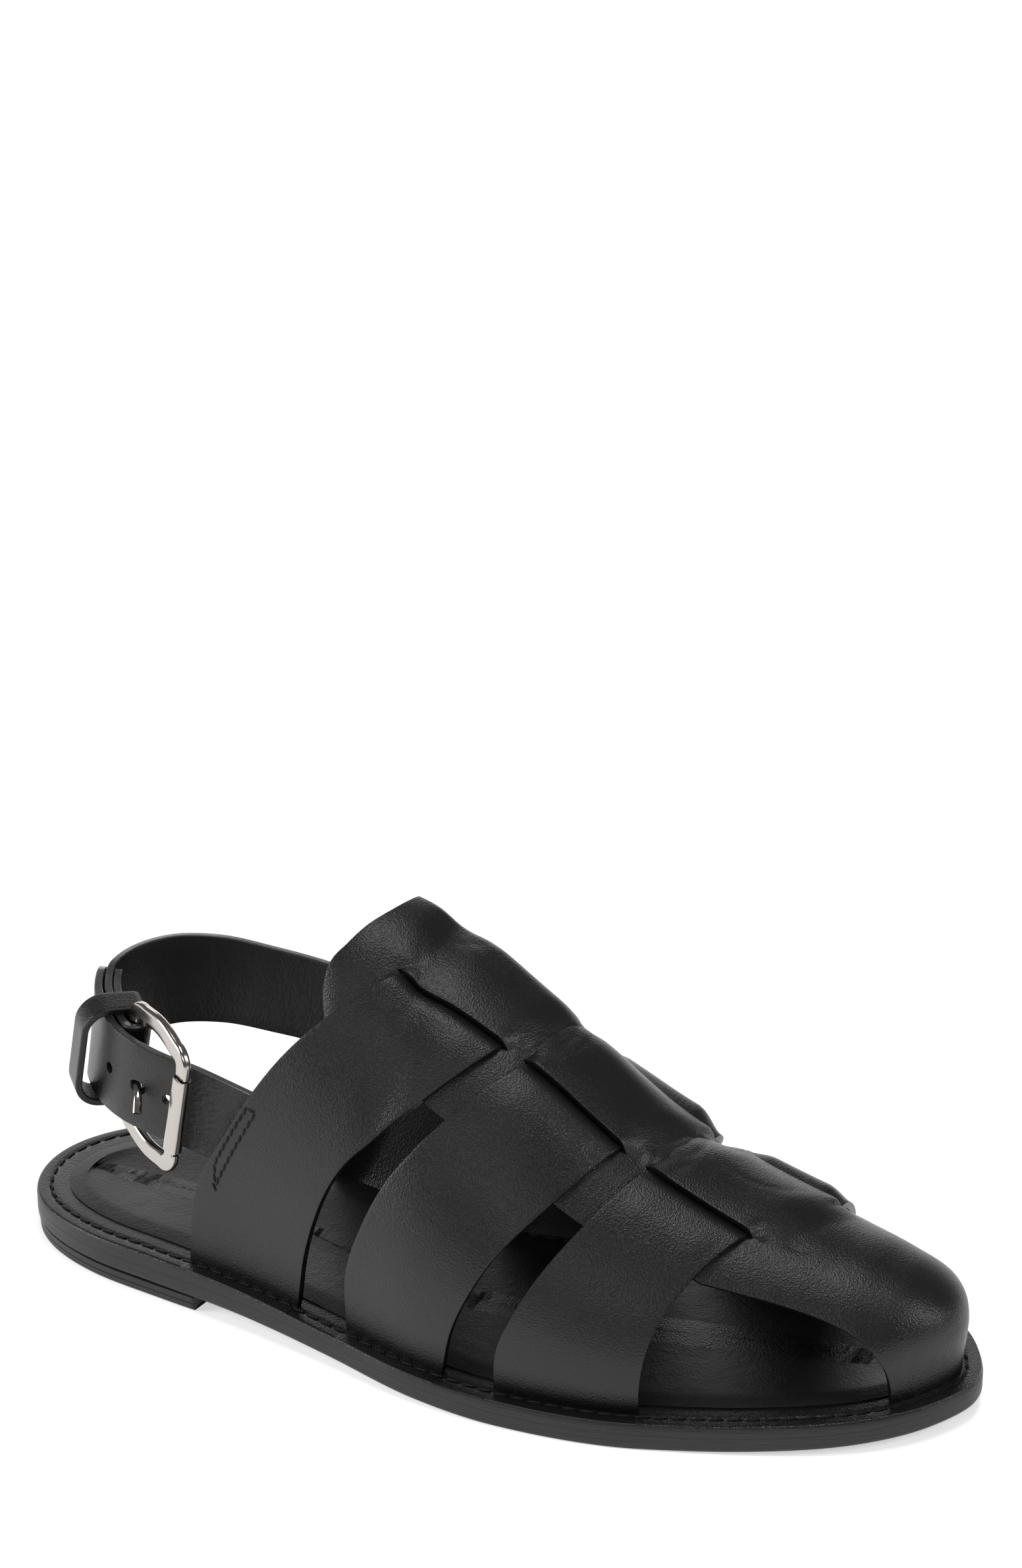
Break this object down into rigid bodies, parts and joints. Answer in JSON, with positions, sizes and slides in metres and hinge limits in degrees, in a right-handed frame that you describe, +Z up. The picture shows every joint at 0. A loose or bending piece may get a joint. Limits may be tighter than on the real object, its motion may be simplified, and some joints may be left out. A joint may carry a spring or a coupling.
{
  "type": "fisherman sandal",
  "caption": "Closed-toe fisherman sandal in black leather with woven straps, a buckled heel strap and a low heel.",
  "frame": {"origin": "middle of the sole's bounding rectangle, on the ground", "axes": "+X from heel to toe, +Y to the medial (big toe) side, +Z up"},
  "size_m": [0.2891, 0.1065, 0.1185],
  "materials": {
    "outsole_leather": "waxed edge, matt underside",
    "heel_stack": "waxed edge",
    "rim_leather": "satin",
    "sock_leather": "soft satin",
    "calf_leather": "satin calf",
    "strap_leather": "satin calf, fine grain",
    "nickel": "polished nickel"
  },
  "bodies": {
    "root": {"outsole": "outsole_leather", "heel_block": "heel_stack", "midsole": "rim_leather", "footbed": "sock_leather", "upper": "calf_leather", "sling_strap": "strap_leather", "buckle_strap": "strap_leather", "keeper_loop": "strap_leather", "buckle_frame": "nickel", "buckle_sleeve": "nickel", "buckle_prong": "nickel"}
  },
  "joints": []
}
